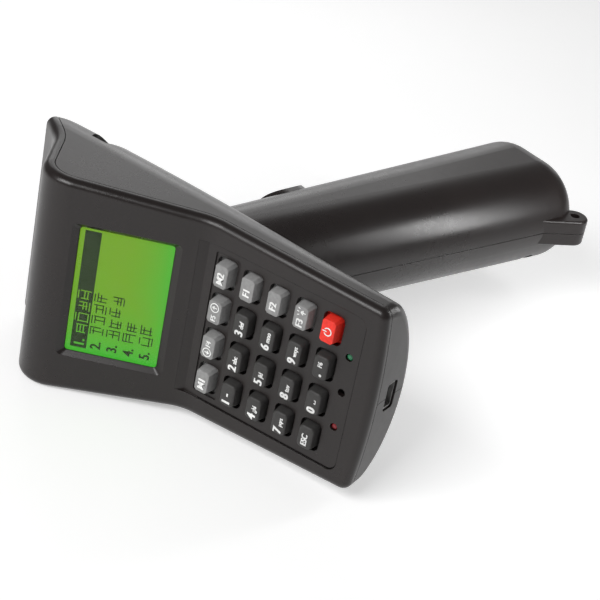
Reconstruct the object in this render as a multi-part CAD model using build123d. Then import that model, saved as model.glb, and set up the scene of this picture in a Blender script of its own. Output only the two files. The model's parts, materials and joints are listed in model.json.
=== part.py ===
from build123d import *
import math
import os

# Pistol-grip data terminal, millimetres. While it is modelled, X runs from the nose back to the keypad's
# end, Y goes in through the keypad face and on down the grip, Z is the user's right, and the zero point is
# the middle of the line where the screen face meets the keypad face. The finished set is then moved so that
# the origin is the middle of the side it lies on: Z up, the user's left side down.

# Side profile of the face, from the keypad's end to the lip of the nose
KEYPAD_LENGTH = 56.5      # bend line to the middle of the end wall
SCREEN_TILT = 27.8        # screen face to keypad face, degrees
SCREEN_LENGTH = 47.1      # bend line to the brow's sharp corner
BROW_ANGLE = 60.0         # drop of the nose behind the brow, degrees below the keypad face
BROW_DROP = 25.9          # brow corner to the start of the flared lip
LIP_ANGLE = 39.0          # the flare, degrees below the keypad face
LIP_LENGTH = 11.5
NOSE_RAKE = 27.0          # lean of the scan mouth, degrees
BEND_RADIUS = 15.0
BROW_RADIUS = 10.0
FLARE_RADIUS = 20.0
END_BULGE = 1.8           # how far the end wall's middle stands out behind its sides

# Sides of the head: straight in plan, leaning in by a draft angle, down to where the belly starts
NOSE_X, NOSE_HALF = -76.0, 32.8
END_X, END_HALF = KEYPAD_LENGTH + 3.5, 27.9
SIDE_DRAFT = 4.0
KNEE = 6.0                # where the sides start to curve under, below the keypad face

# Belly, an oval keel: its depth below the keypad face at distances from the bend line
NOSE_DEPTH = 29.5
BROW_X, BROW_DEPTH = -42.0, 30.5
WAIST_X, WAIST_DEPTH = -12.0, 29.0
HEEL_X, HEEL_DEPTH = 20.0, 24.0
END_DEPTH = 17.5

# Moulding
WALL = 2.2                # shell wall
SEAM_DEPTH = 3.0          # edge of the front cover below its face
SEAM_GAP = 0.2            # visible parting line
RIM_RADIUS = 2.2
CORNER_RADIUS = 3.0
BLEND_RADIUS = 12.0       # head into grip
FIT = 0.1                 # clearance between pieces that seat in one another
MOVE_GAP = 0.35           # clearance round pieces that move

# Trigger, a button in the front of the grip that slides straight in
TRIGGER_ALONG = 60.5      # down the grip's axis, which starts in the keypad plane
TRIGGER_HALF_LONG, TRIGGER_HALF_WIDE = 7.8, 13.4
TRIGGER_CORNER = 6.0
TRIGGER_PROUD, TRIGGER_PROUD_SIDE = 1.6, 0.6
TRIGGER_TRAVEL = 1.8
TRIGGER_LIP = 0.8         # how deep the oval face sits in the wall
TRIGGER_BACK = 5.2        # the opening starts this far ahead of the grip's axis
TRIGGER_FLANGE = 1.6
TRIGGER_FLANGE_HALF = 9.5
TRIGGER_STEM = 6.0
TRIGGER_STEM_END = 8.2
SWITCH_LONG, SWITCH_WIDE, SWITCH_HIGH = 12.8, 5.8, 6.0
SWITCH_BOARD_LONG, SWITCH_BOARD_WIDE, SWITCH_BOARD_THICK = 18.0, 12.0, 1.2
PILLAR_LONG, PILLAR_WIDE = 6.0, 3.0

# Battery in the grip, below the trigger's switch board
CELL_WIDTH, CELL_LENGTH = 18.4, 65.0
CELL_GAP = 7.5            # switch board to cell, with the front stop and contact between
CELL_START = TRIGGER_ALONG + SWITCH_BOARD_LONG / 2 + CELL_GAP
CELL_TIP_WIDTH, CELL_TIP = 6.0, 1.2
CELL_EDGE = 0.8
CONTACT_THICK, CONTACT_WIDTH = 0.5, 16.0
SPRING_WIDTH, SPRING_TIP_WIDTH, SPRING_LENGTH = 8.0, 6.0, 4.0
STOP_HOLE = 6.0
RIB_THICK = 1.6
RIB_STEP = 24.0
LAST_STOP = CELL_START + CELL_LENGTH + SPRING_LENGTH + CONTACT_THICK

# Grip, an oval tube that leans back and grows deeper towards its heel
GRIP_X = -19.3
GRIP_TILT = 16.9
GRIP_START = 18.0
GRIP_LENGTH = LAST_STOP + RIB_THICK + 5.9
GRIP_HALF_WIDE = 16.1
GRIP_TOP_DEEP, GRIP_END_DEEP = 16.2, 21.3
GRIP_END_RADIUS = 9.0

# Lanyard lug at the heel of the grip
LUG_ALONG, LUG_OUT = GRIP_LENGTH - 4.2, 21.6
LUG_EDGE = 0.8
LUG_RADIUS = 4.2
LUG_THICK = 8.6
LUG_LEAN = 25.0
LUG_HOLE = 3.0
LUG_ROOT = 16.0

# Screen
SCREEN_WIDE, SCREEN_HIGH = 38.4, 25.6   # what shows, across and along the face
SCREEN_START = 8.5                      # bend line to the near edge
BEZEL_SIDE, BEZEL_END = 1.5, 2.2        # widths of the sloping bezel
BEZEL_CORNER, VIEW_CORNER = 1.6, 0.9
WINDOW_THICK = 0.8
WINDOW_LAP = 1.6
PANEL_THICK = 2.0
BACKLIGHT_THICK = 2.6
SCREEN_BOARD_THICK = 1.2
SCREEN_BOARD_WIDE, SCREEN_BOARD_HIGH = 52.0, 37.0
PANEL_MARGIN = 2.5        # glass round what shows
POST_WIDTH = 3.6
POST_INSET = 2.4

# Keypad
KEY_PITCH, ROW_PITCH = 11.0, 8.53
ROWS, COLUMNS = 5, 4
FIRST_ROW = 6.5           # bend line to the first row
KEY_WIDE, KEY_HIGH = 8.0, 5.7           # at the face, across and along
KEY_RISE = 2.6
KEY_DRAFT = 7.0
KEY_CORNER, KEY_EDGE = 1.3, 0.5         # soft keys
CRISP_CORNER, CRISP_EDGE = 0.8, 0.2     # function and power keys
KEY_FLANGE = 0.8
KEY_FLANGE_THICK = 0.8
KEY_TRAVEL = 0.8
PLUNGER = 2.4             # square peg under each key that presses its contact
FIELD_DEPTH = 0.5         # the sunken field round the keys
FIELD_HALF = 23.7
FIELD_END = 50.3
FIELD_CORNER = 3.0
FIELD_RUN_OUT = 2.5       # how far up the screen face it fades out
TRAY_WIDE, TRAY_LONG = 43.6, 7.8        # shallow tray of the first row
TRAY_DEPTH = 0.4
TRAY_CORNER = 0.8
LAMP_X = 47.0
LAMP_PITCH = 10.8
LAMP_WIDTH = 2.2
LAMP_SIT = 0.25

# Main board behind the keypad
BOARD_Y = 6.0
BOARD_THICK = 1.6
BOARD_START, BOARD_END = -1.0, 53.0
BOARD_HALF = 21.4
BOARD_NOTCH_X, BOARD_NOTCH_Z = 7.5, 5.5
DOME_SHEET = 0.6          # sheet of snap domes over the contacts
DOME_MARGIN = 0.6         # sheet's edge inside the outer keys' pitch squares
BOARD_POST_NEAR = (0.6, 19.4)
BOARD_POST_FAR = (LAMP_X, LAMP_PITCH / 2)
CAN_WIDE, CAN_LONG, CAN_HIGH = 22.0, 20.0, 2.4
CAN_X = 14.0
BUZZER_WIDTH, BUZZER_HIGH = 4.6, 2.4

# Mini USB inlet in the middle of the end wall
USB_WIDE, USB_HIGH, USB_LONG = 7.7, 3.9, 9.2
USB_METAL = 0.35
USB_SET_BACK = 0.5
USB_CORNER = 0.6
USB_TONGUE_WIDE, USB_TONGUE_HIGH, USB_TONGUE_LONG = 5.4, 1.1, 7.7
SLOT_MARGIN = 0.45

# Screws that hold the front cover, in wells in the belly
COVER_WELL_NOSE = (-47.0, 26.0)
COVER_WELL_END = (50.0, 20.8)
NOSE_WELL_WIDTH, END_WELL_WIDTH = 10.6, 6.2
NOSE_SHELF_Y, END_SHELF_Y = 10.0, 10.0
SHELF_THICK = 2.4
BOSS_WIDTH = 5.2
SCREW_WIDTH = 2.4
SCREW_HEAD_WIDTH, SCREW_HEAD_HIGH = 4.6, 1.7
SCREW_LENGTH = 7.0

# Screws that hold the two halves of the grip: along the grip, off its axis
GRIP_SCREWS = (
    (TRIGGER_ALONG + 9.5, 13.0),
    (TRIGGER_ALONG + 23.5, -13.6),
    (GRIP_LENGTH - 15.0, 14.6),
)
GRIP_SHELF = 3.0
GRIP_WELL_WIDTH = 5.4

# Scanner in the nose
SCAN_SET_BACK, SCAN_WINDOW_THICK = 3.0, 1.8
LEDGE = 1.2               # rim behind the pane, width and thickness
ENGINE_GAP = 4.0
ENGINE_WIDE, ENGINE_HIGH, ENGINE_LONG = 22.0, 14.0, 12.0
ENGINE_EDGE = 1.0
ENGINE_MIDDLE = 13.0      # below the lip, down the mouth
LENS_WIDTH, LENS_RISE = 7.0, 1.2
STAND_WIDE = 12.0

FAR = 60.0                # half size of the tools that cut


def turned(length, angle):
    """A step towards the nose, dropped by an angle below the keypad face (degrees)."""
    return Vector(-length * math.cos(math.radians(angle)), length * math.sin(math.radians(angle)))


BEND = Vector(0, 0)
BROW = BEND + turned(SCREEN_LENGTH, -SCREEN_TILT)
FLARE = BROW + turned(BROW_DROP, BROW_ANGLE)
LIP = FLARE + turned(LIP_LENGTH, LIP_ANGLE)

KEY_FACE = Plane(origin=(0, 0, 0), x_dir=(1, 0, 0), z_dir=(0, -1, 0))
SCREEN_FACE = Plane(
    origin=(0, 0, 0),
    x_dir=(math.cos(math.radians(SCREEN_TILT)), math.sin(math.radians(SCREEN_TILT)), 0),
    z_dir=(math.sin(math.radians(SCREEN_TILT)), -math.cos(math.radians(SCREEN_TILT)), 0),
)
SCREEN_MIDDLE = -(SCREEN_START + SCREEN_HIGH / 2)
MOUTH_FACE = Plane(
    origin=(LIP.X, LIP.Y, 0),
    x_dir=(math.sin(math.radians(NOSE_RAKE)), math.cos(math.radians(NOSE_RAKE)), 0),
    z_dir=(-math.cos(math.radians(NOSE_RAKE)), math.sin(math.radians(NOSE_RAKE)), 0),
)


def grip_plane(along):
    """Cross-section plane of the grip: its X points back, its Y to the user's left, its Z down the grip."""
    tilt = math.radians(GRIP_TILT)
    return Plane(
        origin=(GRIP_X + along * math.sin(tilt), along * math.cos(tilt), 0),
        x_dir=(math.cos(tilt), -math.sin(tilt), 0),
        z_dir=(math.sin(tilt), math.cos(tilt), 0),
    )


def grip_side(along, out=0.0, side=0.0):
    """Plane along the mid-plane, at a place in the grip: its X points back, its Y down the grip."""
    here = grip_plane(along)
    return Plane(origin=here.from_local_coords((out, -side, 0)), x_dir=here.x_dir, z_dir=(0, 0, 1))


def corners_at(sketch, point):
    return [v for v in sketch.vertices() if (Vector(v.X, v.Y) - point).length < 0.01]


def under_face(inset):
    """Everything below the face, with the face moved in by an inset."""
    far_lip = FLARE + turned(FAR, LIP_ANGLE)
    corners = [(2 * FAR, 0), BEND, BROW, FLARE, far_lip, (far_lip.X, 3 * FAR), (2 * FAR, 3 * FAR)]
    side = make_face(Polyline(*corners, close=True))
    for corner, radius in ((BEND, BEND_RADIUS), (BROW, BROW_RADIUS), (FLARE, FLARE_RADIUS)):
        side = fillet(corners_at(side, corner), radius)
    if inset:
        side = offset(side, -inset, kind=Kind.INTERSECTION)
    return extrude(side, FAR, both=True)


def half_width(x, inset):
    """Half width of the head where the belly starts, at a distance from the bend line."""
    half = NOSE_HALF + (END_HALF - NOSE_HALF) * (x - NOSE_X) / (END_X - NOSE_X)
    return half - KNEE * math.tan(math.radians(SIDE_DRAFT)) - inset


def belly_section(x, depth, inset):
    """Oval under the sides at a distance from the bend line, tangent to their draft."""
    wide, deep = half_width(x, inset), depth - inset - KNEE
    start = math.atan(deep * math.tan(math.radians(SIDE_DRAFT)) / wide)
    deep /= 1 - math.sin(start)
    wide /= math.cos(start)
    middle = (0, -KNEE + deep * math.sin(start))
    turn = math.degrees(start)
    belly = EllipticalCenterArc(middle, wide, deep, start_angle=180 + turn, arc_size=180 - 2 * turn)
    outline = Wire([*belly.edges(), Line(belly @ 1, belly @ 0).edge()])
    return Plane(origin=(x, 0, 0), x_dir=(0, 0, 1), z_dir=(1, 0, 0)) * make_face(outline)


def hull(inset):
    """The head's drafted sides over its lofted belly."""
    belly = loft(
        [
            belly_section(NOSE_X, NOSE_DEPTH, inset),
            belly_section(BROW_X, BROW_DEPTH, inset),
            belly_section(WAIST_X, WAIST_DEPTH, inset),
            belly_section(HEEL_X, HEEL_DEPTH, inset),
            belly_section(END_X, END_DEPTH, inset),
        ]
    )
    nose, end = half_width(NOSE_X, inset), half_width(END_X, inset)
    rise = FAR * math.tan(math.radians(SIDE_DRAFT))
    sections = []
    for y, out in ((KNEE, 0), (KNEE - FAR, rise)):
        nose_side, end_side = nose + out, end + out
        plan = Polyline(
            (NOSE_X, -nose_side), (NOSE_X, nose_side), (END_X, end_side), (END_X, -end_side), close=True
        )
        sections.append(Plane(origin=(0, y, 0), x_dir=(1, 0, 0), z_dir=(0, -1, 0)) * make_face(plan))
    return belly + loft(sections, ruled=True)


def ahead_of_end_wall(inset):
    """Everything in front of the bulging end wall."""
    middle = KEYPAD_LENGTH - inset
    side = middle - END_BULGE * (FAR / END_HALF) ** 2
    wall = ThreePointArc((side, -FAR), (middle, 0), (side, FAR))
    rest = Polyline((side, FAR), (-2 * FAR, FAR), (-2 * FAR, -FAR), (side, -FAR))
    return extrude(KEY_FACE * make_face(Wire([*wall.edges(), *rest.edges()])), 2 * FAR, both=True)


def behind_mouth(inset):
    """Everything behind the plane of the scan mouth."""
    block = Box(4 * FAR, 4 * FAR, 4 * FAR, align=(Align.CENTER, Align.CENTER, Align.MAX))
    return MOUTH_FACE * Pos(0, 0, -inset) * block


def head_inside(inset):
    """The head's outline drawn in by an inset, and open through the mouth."""
    return hull(inset) & under_face(inset) & ahead_of_end_wall(inset)


def is_face_side(face):
    return face.normal_at(face.center()).Y < -0.3


def head_solid():
    """The outside of the head with its rounded corners and rim."""
    head = head_inside(0) & behind_mouth(0)
    end_wall = head.faces().sort_by(Axis.X)[-1]
    head = fillet([e for e in end_wall.edges() if e.center().Y > FIT], CORNER_RADIUS)
    shared = {}
    for face in filter(is_face_side, head.faces()):
        for edge in face.edges():
            shared.setdefault(tuple(round(c, 2) for c in edge.center()), []).append(edge)
    rim = [edges[0] for edges in shared.values() if len(edges) == 1]
    return fillet([e for e in rim if e.center().X > LIP.X + 1], RIM_RADIUS)


def grip_solid(inset):
    """The grip's oval tube, drawn in by an inset: two round bars that spread apart, with flats between."""
    half = GRIP_HALF_WIDE - inset
    spines = []
    for side in (-1, 1):
        top = grip_plane(GRIP_START).from_local_coords((side * (GRIP_TOP_DEEP - GRIP_HALF_WIDE), 0, 0))
        heel = grip_plane(GRIP_LENGTH).from_local_coords((side * (GRIP_END_DEEP - GRIP_HALF_WIDE), 0, 0))
        spines.append((top, top + (heel - top) * 1.5))
    (top, heel), (back_top, back_heel) = spines
    grip = extrude(make_face(Polyline(top, heel, back_heel, back_top, close=True)), half, both=True)
    for top, heel in spines:
        grip += Plane(origin=top, z_dir=heel - top) * Cylinder(half, 2 * (heel - top).length)
    length = GRIP_LENGTH - inset - GRIP_START
    ends = Box(4 * FAR, 4 * FAR, length, align=(Align.CENTER, Align.CENTER, Align.MIN))
    grip &= grip_plane(GRIP_START) * ends
    return fillet(grip.faces().sort_by(Axis.Y)[-1].edges(), GRIP_END_RADIUS - inset)


def lug_solid():
    """Tab with a round end and eased edges at the heel of the grip."""
    tab = Circle(LUG_RADIUS)
    tab += Rot(0, 0, -90 - LUG_LEAN) * Pos(LUG_ROOT / 2, 0) * Rectangle(LUG_ROOT, 2 * LUG_RADIUS)
    tab = extrude(grip_side(LUG_ALONG, LUG_OUT) * tab, LUG_THICK / 2, both=True)
    ends = tab.faces().sort_by(Axis.Z)
    return fillet([*ends[0].edges(), *ends[-1].edges()], LUG_EDGE)


def body_solid():
    """Head, grip and lug in one, the head blended into the grip."""
    head = head_solid()
    grip = grip_solid(0)
    body = head + grip
    return fillet(new_edges(head, grip, combined=body), BLEND_RADIUS) + lug_solid()


def rod(x, z, width, start, end):
    """A round bar along Y, from one depth below the keypad face to another."""
    return Plane(origin=(x, start, z), x_dir=(1, 0, 0), z_dir=(0, 1, 0)) * Cylinder(
        width / 2, end - start, align=(Align.CENTER, Align.CENTER, Align.MIN)
    )


def both_sides(x, z):
    return ((x, z), (x, -z))


def across_grip(along, out, width, start, end):
    """A round bar along Z beside the grip's axis, from one side place to another."""
    return grip_side(along, out, start) * Cylinder(
        width / 2, end - start, align=(Align.CENTER, Align.CENTER, Align.MIN)
    )


def trigger_prism(margin, half_wide=TRIGGER_HALF_WIDE, start=TRIGGER_BACK):
    """The trigger's outline run forward out of the grip, from a distance ahead of the grip's axis."""
    here = grip_plane(TRIGGER_ALONG)
    front = Plane(origin=here.from_local_coords((-start, 0, 0)), x_dir=here.z_dir, z_dir=-here.x_dir)
    outline = RectangleRounded(
        2 * (TRIGGER_HALF_LONG + margin), 2 * (half_wide + margin), TRIGGER_CORNER + margin
    )
    return extrude(front * outline, FAR)


# ---- the two back halves ----


def cover_screw_places():
    """Where the cover's screws are, with their wells' widths and shelf depths."""
    for x, z in both_sides(*COVER_WELL_NOSE):
        yield x, z, NOSE_WELL_WIDTH, NOSE_SHELF_Y
    for x, z in both_sides(*COVER_WELL_END):
        yield x, z, END_WELL_WIDTH, END_SHELF_Y


def battery_ribs():
    """Cross ribs of the grip: stops at both ends of the battery and saddles under it."""
    inside = grip_solid(WALL / 2)
    ribs = []
    first_stop = CELL_START - CELL_TIP - CONTACT_THICK - RIB_THICK
    for along, hole in (
        (first_stop, STOP_HOLE),
        (CELL_START + RIB_STEP, CELL_WIDTH + 2 * FIT),
        (CELL_START + 2 * RIB_STEP, CELL_WIDTH + 2 * FIT),
        (LAST_STOP, STOP_HOLE),
    ):
        plate = grip_plane(along) * (
            Box(FAR, FAR, RIB_THICK, align=(Align.CENTER, Align.CENTER, Align.MIN))
            - Cylinder(hole / 2, 3 * RIB_THICK)
        )
        ribs.append(inside & plate)
    return ribs


def switch_pillars():
    """Two pads on the back wall of the grip that carry the trigger's switch board."""
    inside = grip_solid(WALL / 2)
    pads = []
    for side in (-1, 1):
        pad = Box(FAR, PILLAR_WIDE, PILLAR_LONG, align=(Align.MIN, Align.CENTER, Align.CENTER))
        place = Pos(SWITCH_BOARD_THICK, side * PILLAR_WIDE, 0)
        pads.append(inside & grip_plane(TRIGGER_ALONG) * place * pad)
    return pads


def engine_stand():
    """Block on the belly that carries the scan engine."""
    depth = SCAN_SET_BACK + SCAN_WINDOW_THICK + ENGINE_GAP
    block = Box(FAR, STAND_WIDE, ENGINE_LONG, align=(Align.MIN, Align.CENTER, Align.MAX))
    place = Pos(ENGINE_MIDDLE + ENGINE_HIGH / 2, 0, -depth)
    return MOUTH_FACE * place * block & head_inside(WALL / 2)


def back_shell():
    """The back of the housing before it is parted into halves."""
    body = body_solid()
    outside = body & under_face(SEAM_DEPTH + SEAM_GAP)
    shell = outside - head_inside(WALL) - grip_solid(WALL)
    behind_pane = behind_mouth(SCAN_SET_BACK + SCAN_WINDOW_THICK)
    for x, z, width, shelf in cover_screw_places():
        shell += outside & rod(x, z, width + 2 * WALL, shelf - SHELF_THICK, FAR) & behind_pane
    for rib in battery_ribs() + switch_pillars() + [engine_stand()]:
        shell += rib
    shell += pane_ledge() & under_face(SEAM_DEPTH + SEAM_GAP)
    for along, out in GRIP_SCREWS:
        shell += grip_solid(WALL / 2) & across_grip(along, out, BOSS_WIDTH, 0, FAR)
        shell += grip_solid(WALL / 2) & across_grip(along, out, GRIP_WELL_WIDTH + WALL, -FAR, 0)
    for x, z, width, shelf in cover_screw_places():
        shell -= rod(x, z, width, shelf, FAR)
        shell -= rod(x, z, SCREW_WIDTH + 2 * FIT, 0, FAR)
    for along, out in GRIP_SCREWS:
        shell -= across_grip(along, out, GRIP_WELL_WIDTH, -FAR, -GRIP_SHELF)
        shell -= across_grip(along, out, SCREW_WIDTH + 2 * FIT, -FAR, SCREW_LENGTH)
    shell -= across_grip(LUG_ALONG, LUG_OUT, LUG_HOLE, -FAR, FAR)
    shell -= trigger_prism(MOVE_GAP)
    shell -= usb_block(SLOT_MARGIN, FAR)
    return shell


def half_of(shell, side):
    """One side of the shell, short of the mid-plane by half the parting gap."""
    align = Align.MIN if side > 0 else Align.MAX
    block = Box(8 * FAR, 8 * FAR, 8 * FAR, align=(Align.CENTER, Align.CENTER, align))
    return shell & Pos(0, 0, side * SEAM_GAP / 2) * block


# ---- front cover ----


def screen_opening():
    """Sloping bezel, the window's view and the rebate that the window sits in."""
    ledge = WALL - WINDOW_THICK
    view = (SCREEN_HIGH, SCREEN_WIDE)
    outer = RectangleRounded(view[0] + 2 * BEZEL_END, view[1] + 2 * BEZEL_SIDE, BEZEL_CORNER)
    inner = RectangleRounded(*view, VIEW_CORNER)
    bezel = loft([Pos(0, 0, FIT) * outer, Pos(0, 0, -ledge) * inner])
    through = extrude(inner, -2 * WALL)
    rebate = Pos(0, 0, -ledge) * extrude(Rectangle(*[v + 2 * WINDOW_LAP for v in view]), -WALL)
    return SCREEN_FACE * Pos(SCREEN_MIDDLE, 0, 0) * (bezel + through + rebate)


def key_places():
    for row in range(ROWS):
        for column in range(COLUMNS):
            yield row, column, FIRST_ROW + row * ROW_PITCH, (column - (COLUMNS - 1) / 2) * KEY_PITCH


def key_field():
    """Sunken field round the keys, which runs out into the bend, and the deeper tray of the first row."""
    start = BEND + turned(FIELD_RUN_OUT, -SCREEN_TILT)
    floor = Polyline(
        (FIELD_END, -FAR),
        (FIELD_END, FIELD_DEPTH),
        (BEND.X, FIELD_DEPTH),
        start,
        (start.X, -FAR),
        close=True,
    )
    field = extrude(make_face(floor), FIELD_HALF, both=True)
    length = 2 * FIELD_END
    plan = Pos(FIELD_END - length / 2, 0) * RectangleRounded(length, 2 * FIELD_HALF, FIELD_CORNER)
    field &= extrude(KEY_FACE * plan, FAR, both=True)
    tray = Pos(FIRST_ROW, 0) * RectangleRounded(TRAY_LONG, TRAY_WIDE, TRAY_CORNER)
    return field + extrude(KEY_FACE * tray, -FIELD_DEPTH - TRAY_DEPTH)


def cover_bosses():
    """Screw bosses, board posts and screen posts on the back of the cover."""
    bosses = []
    for x, z, width, shelf in cover_screw_places():
        boss = rod(x, z, BOSS_WIDTH, -FAR, shelf - SHELF_THICK)
        bosses.append(boss - rod(x, z, SCREW_WIDTH + 2 * FIT, shelf - SCREW_LENGTH - FIT, FAR))
    for x, z in both_sides(*BOARD_POST_NEAR) + both_sides(*BOARD_POST_FAR):
        bosses.append(rod(x, z, POST_WIDTH, -FAR, BOARD_Y))
    reach = WALL + PANEL_THICK + BACKLIGHT_THICK
    for end in (-1, 1):
        for side in (-1, 1):
            x = SCREEN_MIDDLE + end * (SCREEN_BOARD_HIGH / 2 - POST_INSET)
            z = side * (SCREEN_BOARD_WIDE / 2 - POST_INSET)
            post = Cylinder(POST_WIDTH / 2, reach, align=(Align.CENTER, Align.CENTER, Align.MAX))
            bosses.append(SCREEN_FACE * Pos(x, z, 0) * post)
    return bosses


def front_cover():
    cover = head_solid() - under_face(SEAM_DEPTH) - head_inside(WALL)
    backing = head_inside(WALL / 2)
    for boss in cover_bosses():
        cover += boss & backing
    cover += pane_ledge() - under_face(SEAM_DEPTH)
    cover -= screen_opening()
    cover -= key_field()
    for row, column, x, z in key_places():
        hole = RectangleRounded(KEY_HIGH + 2 * MOVE_GAP, KEY_WIDE + 2 * MOVE_GAP, KEY_CORNER + MOVE_GAP)
        cover -= extrude(KEY_FACE * Pos(x, z) * hole, -2 * WALL)
    for z in (-LAMP_PITCH, 0, LAMP_PITCH):
        cover -= rod(LAMP_X, z, LAMP_WIDTH, 0, 2 * WALL)
    return cover


# ---- keys ----

KEY_NAMES = (
    ("m1", "f4", "f5", "m2"),
    ("1", "2", "3", "f1"),
    ("4", "5", "6", "f2"),
    ("7", "8", "9", "f3"),
    ("esc", "0", "dot", "power"),
)
CRISP_KEYS = ("m1", "f4", "f5", "m2", "f1", "f2", "f3", "power")


def key_cap(corner, edge):
    """One key about its own middle, its Z out of the face: cap, stem, retaining flange and plunger."""
    cap = Pos(0, 0, -FIELD_DEPTH) * extrude(Rectangle(KEY_HIGH, KEY_WIDE), KEY_RISE, taper=KEY_DRAFT)
    cap = fillet([e for e in cap.edges() if abs(e.tangent_at(0.5).Z) > 0.5], corner)
    cap = chamfer(cap.faces().sort_by(Axis.Z)[-1].edges(), edge)
    under = WALL + MOVE_GAP
    base = cap.faces().sort_by(Axis.Z)[0]
    cap += extrude(base, under - FIELD_DEPTH)
    flange = Rectangle(KEY_HIGH + 2 * KEY_FLANGE, KEY_WIDE + 2 * KEY_FLANGE)
    cap += Pos(0, 0, -under) * extrude(flange, -KEY_FLANGE_THICK)
    bottom = BOARD_Y - DOME_SHEET - KEY_TRAVEL - MOVE_GAP
    plunger = Rectangle(PLUNGER, PLUNGER)
    return cap + Pos(0, 0, -under) * extrude(plunger, under - bottom)


def keys():
    made = {}
    crisp = key_cap(CRISP_CORNER, CRISP_EDGE)
    soft = key_cap(KEY_CORNER, KEY_EDGE)
    for row, column, x, z in key_places():
        name = KEY_NAMES[row][column]
        made["key_" + name] = KEY_FACE * Pos(x, z) * (crisp if name in CRISP_KEYS else soft)
    return made


# ---- screen ----


def screen_pieces():
    place = SCREEN_FACE * Pos(SCREEN_MIDDLE, 0, 0)
    view = (SCREEN_HIGH, SCREEN_WIDE)
    lap = 2 * (WINDOW_LAP - FIT)
    window = Rectangle(view[0] + lap, view[1] + lap)
    glass = Rectangle(view[0] + 2 * PANEL_MARGIN, view[1] + 2 * PANEL_MARGIN)
    board = Rectangle(SCREEN_BOARD_HIGH, SCREEN_BOARD_WIDE)
    pieces = {}
    depth = WALL - WINDOW_THICK
    for name, sketch, thick in (
        ("screen_window", window, WINDOW_THICK),
        ("screen_panel", glass, PANEL_THICK),
        ("screen_backlight", glass, BACKLIGHT_THICK),
        ("screen_board", board, SCREEN_BOARD_THICK),
    ):
        pieces[name] = place * Pos(0, 0, -depth) * extrude(sketch, -thick)
        depth += thick
    return pieces


# ---- main board and what it carries ----


def main_board():
    middle = (BOARD_START + BOARD_END) / 2
    sheet = Pos(middle, 0) * Rectangle(BOARD_END - BOARD_START, 2 * BOARD_HALF)
    for side in (-1, 1):
        notch = Rectangle(2 * BOARD_NOTCH_X, 2 * BOARD_NOTCH_Z)
        sheet -= Pos(BOARD_END, side * BOARD_HALF) * notch
    return extrude(KEY_FACE * Pos(0, 0, -BOARD_Y) * sheet, -BOARD_THICK)


def dome_sheet():
    """Sheet of snap domes that lies under all the keys."""
    middle = FIRST_ROW + (ROWS - 1) / 2 * ROW_PITCH
    sheet = Rectangle(ROWS * ROW_PITCH - 2 * DOME_MARGIN, COLUMNS * KEY_PITCH - 2 * DOME_MARGIN)
    return KEY_FACE * Pos(middle, 0, -BOARD_Y) * extrude(sheet, DOME_SHEET)


def lamp(z):
    """Light-emitting diode: a collar on the board and a round lens up into its hole."""
    lens = rod(LAMP_X, z, LAMP_WIDTH - 2 * FIT, FIELD_DEPTH + LAMP_SIT, BOARD_Y)
    return lens + rod(LAMP_X, z, LAMP_WIDTH + 4 * FIT, WALL + 2 * FIT, BOARD_Y)


def usb_block(margin, extra):
    """Outline of the USB inlet, grown by a margin and run out through the end wall."""
    middle_y = BOARD_Y + BOARD_THICK + USB_HIGH / 2
    place = Plane(origin=(KEYPAD_LENGTH - USB_SET_BACK, middle_y, 0), x_dir=(0, 0, 1), z_dir=(1, 0, 0))
    mouth = RectangleRounded(USB_WIDE + 2 * margin, USB_HIGH + 2 * margin, USB_CORNER + margin)
    return place * Pos(0, 0, extra) * extrude(mouth, -USB_LONG - extra)


def usb_port():
    """Metal shell of the inlet with the tongue inside it."""
    shell = usb_block(0, 0) - Pos(USB_METAL, 0, 0) * usb_block(-USB_METAL, 0)
    middle_y = BOARD_Y + BOARD_THICK + USB_HIGH / 2
    tongue = Box(
        USB_TONGUE_LONG, USB_TONGUE_HIGH, USB_TONGUE_WIDE, align=(Align.MIN, Align.CENTER, Align.CENTER)
    )
    return shell + Pos(KEYPAD_LENGTH - USB_SET_BACK - USB_LONG, middle_y, 0) * tongue


def board_can():
    """Screening can on the back of the main board."""
    under = BOARD_Y + BOARD_THICK
    can = Box(CAN_LONG, CAN_HIGH, CAN_WIDE, align=(Align.CENTER, Align.MIN, Align.CENTER))
    return Pos(CAN_X, under, 0) * can


def buzzer():
    body = rod(LAMP_X, 0, BUZZER_WIDTH, BOARD_Y - BUZZER_HIGH, BOARD_Y)
    return body - rod(LAMP_X, 0, LAMP_WIDTH / 2, BOARD_Y - BUZZER_HIGH, BOARD_Y - BUZZER_HIGH / 2)


# ---- screws ----


def screw():
    """Pan-head screw, head up, its seat at zero."""
    head = Cylinder(SCREW_HEAD_WIDTH / 2, SCREW_HEAD_HIGH, align=(Align.CENTER, Align.CENTER, Align.MIN))
    head = chamfer(head.faces().sort_by(Axis.Z)[-1].edges(), SCREW_HEAD_HIGH / 3)
    return head + Cylinder(SCREW_WIDTH / 2, SCREW_LENGTH, align=(Align.CENTER, Align.CENTER, Align.MAX))


def cover_screws():
    one = screw()
    placed = []
    for x, z, width, shelf in cover_screw_places():
        placed.append(Plane(origin=(x, shelf, z), x_dir=(1, 0, 0), z_dir=(0, 1, 0)) * one)
    return Compound(placed)


def grip_screws():
    one = Rot(180, 0, 0) * screw()
    return Compound([grip_side(along, out, -GRIP_SHELF) * one for along, out in GRIP_SCREWS])


# ---- scanner ----


def across_mouth(start, thick):
    """A slab parallel to the mouth, from a distance behind it."""
    return behind_mouth(start) - behind_mouth(start + thick)


def scan_window():
    """Red pane across the mouth, just inside its rim."""
    return head_inside(WALL + FIT) & across_mouth(SCAN_SET_BACK, SCAN_WINDOW_THICK)


def pane_ledge():
    """Narrow rim round the inside of the walls that the pane rests against."""
    rim = head_inside(WALL / 2) - head_inside(WALL + LEDGE)
    return rim & across_mouth(SCAN_SET_BACK + SCAN_WINDOW_THICK, LEDGE)


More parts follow.
